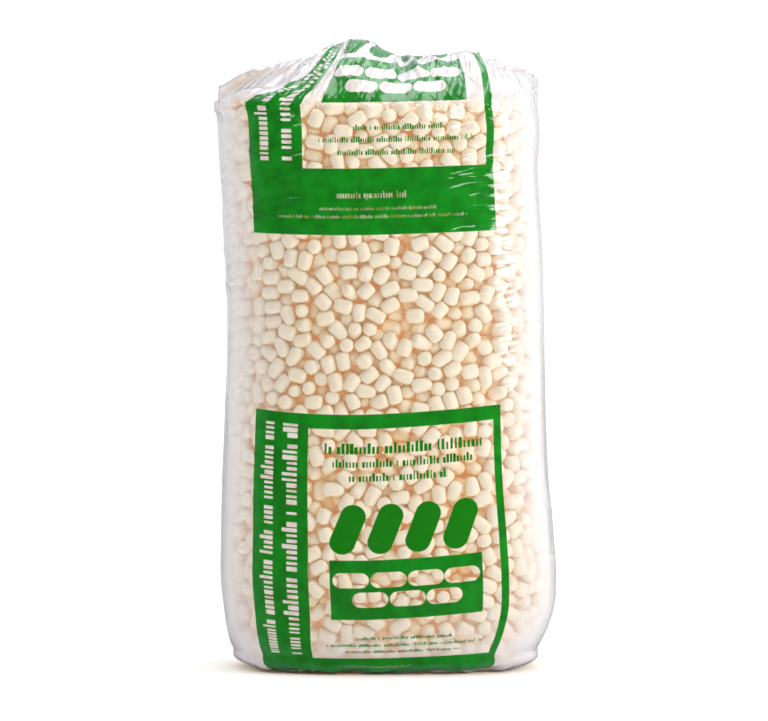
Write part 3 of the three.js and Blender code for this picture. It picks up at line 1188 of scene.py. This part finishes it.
# The lamps: name, place, the point it faces, width and height, and power in watts
LAMPS = (
    ("key_right", (2.8, -1.3, 1.8), (0, 0, 0.75), (1.2, 1.6), 42),
    ("high_right", (1.25, -2.9, 2.7), (0, 0, 0.85), (1.2, 0.8), 18),
    ("high_left", (-1.5, -3.0, 2.7), (0, 0, 0.85), (0.5, 0.7), 5),
)


def make_lamp(name, place, target, size, power):
    """A soft rectangular studio lamp."""
    lamp = bpy.data.lights.new(name, "AREA")
    lamp.shape = "RECTANGLE"
    lamp.size, lamp.size_y = size
    lamp.energy = power
    thing = add_object(name, lamp)
    thing.location = place
    aim_at(thing, target)
    return thing


def make_overhead(strength):
    """A broad light straight down, which whitens the floor and leaves upright faces alone."""
    lamp = bpy.data.lights.new("overhead", "SUN")
    lamp.energy = strength
    lamp.angle = math.radians(50)
    thing = add_object("overhead", lamp)
    thing.location = (0, 0, 3)
    return thing


def make_sky(light, shown, mirrored):
    """A white surround: how strong its front is as light and as mirrored in gloss, and its back as shown."""
    world = bpy.data.worlds.new("Studio")
    bpy.context.scene.world = world
    world.use_nodes = True
    world.node_tree.nodes.clear()
    w = Wiring(world.node_tree)
    path = w.node("ShaderNodeLightPath").outputs
    aim = w.parts(w.node("ShaderNodeTexCoord").outputs["Generated"])[1]
    in_front = w.between(path["Is Glossy Ray"], 0, 1, light, mirrored)
    at_back = w.between(path["Is Glossy Ray"], 0, 1, shown, 0.78 * shown)
    behind = w.greater(w.between(aim, -0.45, 0.40), path["Is Camera Ray"])
    strength = w.between(behind, 0, 1, in_front, at_back)
    glow = w.node("ShaderNodeBackground", {"Color": (1, 1, 1, 1), "Strength": strength})
    w.feed(w.node("ShaderNodeOutputWorld").inputs["Surface"], glow.outputs[0])


def make_camera(settings):
    """A camera in front of the bag, a little above its middle."""
    middle = (CAD_BOX[0][2] + CAD_BOX[1][2]) / 2
    target = Vector((settings.aim_across, 0, middle + settings.aim_rise))
    camera = bpy.data.cameras.new("camera")
    thing = add_object("camera", camera)
    thing.location = (settings.aim_across, -settings.distance, settings.height)
    aim_at(thing, target)
    camera.sensor_width = 36
    camera.lens = camera.sensor_width * (thing.location - target).length / settings.view_width
    camera.clip_end = 100
    bpy.context.scene.camera = thing
    return thing


# ---------------------------------------------------------------- settings, operators and panel


def colour_property(name, description, value):
    return bpy.props.FloatVectorProperty(
        name=name, description=description, default=value, subtype="COLOR", size=4, min=0, max=1
    )


def length_property(name, description, value):
    return bpy.props.FloatProperty(
        name=name, description=description, default=value, unit="LENGTH", precision=4
    )


def number_property(name, description, value):
    return bpy.props.FloatProperty(name=name, description=description, default=value)


def count_property(name, description, value):
    return bpy.props.IntProperty(name=name, description=description, default=value)


class PACKING_HeapSettings(bpy.types.PropertyGroup):
    """Sizes and colours of the peanuts."""

    diameter: length_property("Diameter", "Thickness of a peanut", 0.030)
    length: length_property("Length", "Length of a peanut", 0.036)
    air: length_property("Air", "Room kept round each peanut", 0.0002)
    shell_depth: length_property("Shell Depth", "How deep under the film peanuts are made one by one", 0.080)
    per_litre: number_property("Per Litre", "Peanuts in a litre of the heap", 33.0)
    swelling: number_property("Swelling", "Size of each peanut in its room", 1.03)
    rounds: count_property("Rounds", "Rounds of pushing apart", 170)
    seed: count_property("Seed", "Start of the random draws", 3)
    foam_pale: colour_property("Pale Foam", "Colour of the palest peanuts", (0.95, 0.85, 0.66, 1))
    foam_warm: colour_property("Warm Foam", "Colour of the warmest peanuts", (0.94, 0.80, 0.58, 1))
    # Painted shade: the warm, darker colour given to peanuts deep between others.
    foam_painted_deep_shade: colour_property("Painted Deep Shade", "Painted warm shade deep between the peanuts", (0.96, 0.76, 0.46, 1))
    # Painted glow: the faint warm light given off by peanuts deep under the film.
    foam_painted_glow: colour_property("Painted Foam Glow", "Painted glow deep down, in place of light scattered in the foam", (0.12, 0.066, 0.022, 1))


class PACKING_FilmSettings(bpy.types.PropertyGroup):
    """Mesh, folds and colours of the film."""

    columns: count_property("Columns", "Points round the film, in fours", 432)
    pitch: length_property("Pitch", "Distance between the rows of points up the film", 0.0050)
    roof_rows: count_property("Roof Rows", "Rows from the shoulder to the ridge", 30)
    clearance: length_property("Clearance", "Room between the film and the peanuts", 0.0008)
    stand_off: length_property("Stand Off", "How far outside the peanuts' shell the film lies", 0.0022)
    tightness: count_property("Tightness", "Rounds of pulling the film tight", 14)
    seed: count_property("Seed", "Start of the random draws", 11)
    haze: number_property("Haze", "Milkiness seen straight on", 0.07)
    edge_haze: number_property("Edge Haze", "Milkiness seen at a slant", 0.78)
    slack_haze: number_property("Slack Haze", "Milkiness added by slack film", 0.30)
    haze_colour: colour_property("Haze Colour", "Colour of the milkiness", (0.86, 0.83, 0.88, 1))
    film_tint: colour_property("Film Tint", "Tint of what shows through", (0.95, 0.945, 0.955, 1))
    ink_green: colour_property("Green Ink", "Colour of the frame's print", (0.0006, 0.265, 0.008, 1))
    ink_dark: colour_property("Dark Green Ink", "Colour where the print is thick", (0.0003, 0.185, 0.004, 1))
    ink_light: colour_property("Light Green Ink", "Colour of the second print", (0.0020, 0.210, 0.0008, 1))
    # Painted sheen on the print at a slant.
    ink_painted_sheen: colour_property("Painted Ink Sheen", "Painted sheen: the paler colour the print turns to at a slant", (0.18, 0.55, 0.38, 1))
    ink_cover: number_property("Ink Cover", "How much the print hides", 0.994)
    shine: number_property("Shine", "Film faces that each mirror light", 1.9)
    shine_roughness: number_property("Shine Roughness", "Blur of reflections", 0.13)


class PACKING_StageSettings(bpy.types.PropertyGroup):
    """Camera and light."""

    distance: length_property("Distance", "Camera to the bag's middle", 8.0)
    height: length_property("Height", "Height of the camera", 0.80)
    aim_across: length_property("Aim Across", "Where the camera points, left to right", -0.005)
    aim_rise: length_property("Aim Rise", "Where the camera points, from the bag's middle up", -0.014)
    view_width: length_property("View Width", "Width of the view at the bag", 1.618)
    floor_radius: length_property("Floor Radius", "Radius of the floor", 40.0)


class PACKING_OT_heap(bpy.types.Operator):
    """Make the loose peanuts"""

    bl_idname = "packing.heap"
    bl_label = "Make Peanuts"

    def execute(self, context):
        make_heap(context.scene.packing_heap)
        return {"FINISHED"}


class PACKING_OT_film(bpy.types.Operator):
    """Make the printed film bag round the peanuts"""

    bl_idname = "packing.film"
    bl_label = "Make Film Bag"

    def execute(self, context):
        heap = [bpy.data.objects["peanuts_" + zone] for zone in ZONES]
        make_film(context.scene.packing_film, heap)
        return {"FINISHED"}


class PACKING_OT_stage(bpy.types.Operator):
    """Make the floor, the lamps, the white surround and the camera"""

    bl_idname = "packing.stage"
    bl_label = "Make Stage"

    def execute(self, context):
        settings = context.scene.packing_stage
        make_floor(settings.floor_radius)
        make_sky(light=0.12, shown=1.08, mirrored=0.02)
        for lamp in LAMPS:
            make_lamp(*lamp)
        make_overhead(1.8)
        make_camera(settings)
        context.scene.view_settings.view_transform = "Standard"
        return {"FINISHED"}


class PACKING_PT_panel(bpy.types.Panel):
    """Lists the bag's operators and settings"""

    bl_idname = "PACKING_PT_panel"
    bl_label = "Bag of Packing Peanuts"
    bl_space_type = "VIEW_3D"
    bl_region_type = "UI"
    bl_category = "Packing"

    def draw(self, context):
        for operator, name in (
            (PACKING_OT_heap, "packing_heap"),
            (PACKING_OT_film, "packing_film"),
            (PACKING_OT_stage, "packing_stage"),
        ):
            box = self.layout.box()
            box.operator(operator.bl_idname)
            settings = getattr(context.scene, name)
            for key in settings.__annotations__:
                box.prop(settings, key)


CLASSES = (
    PACKING_HeapSettings,
    PACKING_FilmSettings,
    PACKING_StageSettings,
    PACKING_OT_heap,
    PACKING_OT_film,
    PACKING_OT_stage,
    PACKING_PT_panel,
)


def register():
    for kind in CLASSES:
        bpy.utils.register_class(kind)
    bpy.types.Scene.packing_heap = bpy.props.PointerProperty(type=PACKING_HeapSettings)
    bpy.types.Scene.packing_film = bpy.props.PointerProperty(type=PACKING_FilmSettings)
    bpy.types.Scene.packing_stage = bpy.props.PointerProperty(type=PACKING_StageSettings)


def unregister():
    del bpy.types.Scene.packing_heap
    del bpy.types.Scene.packing_film
    del bpy.types.Scene.packing_stage
    for kind in reversed(CLASSES):
        bpy.utils.unregister_class(kind)


def main():
    register()
    bpy.ops.packing.heap()
    bpy.ops.packing.film()
    bpy.ops.packing.stage()


if __name__ == "__main__":
    main()
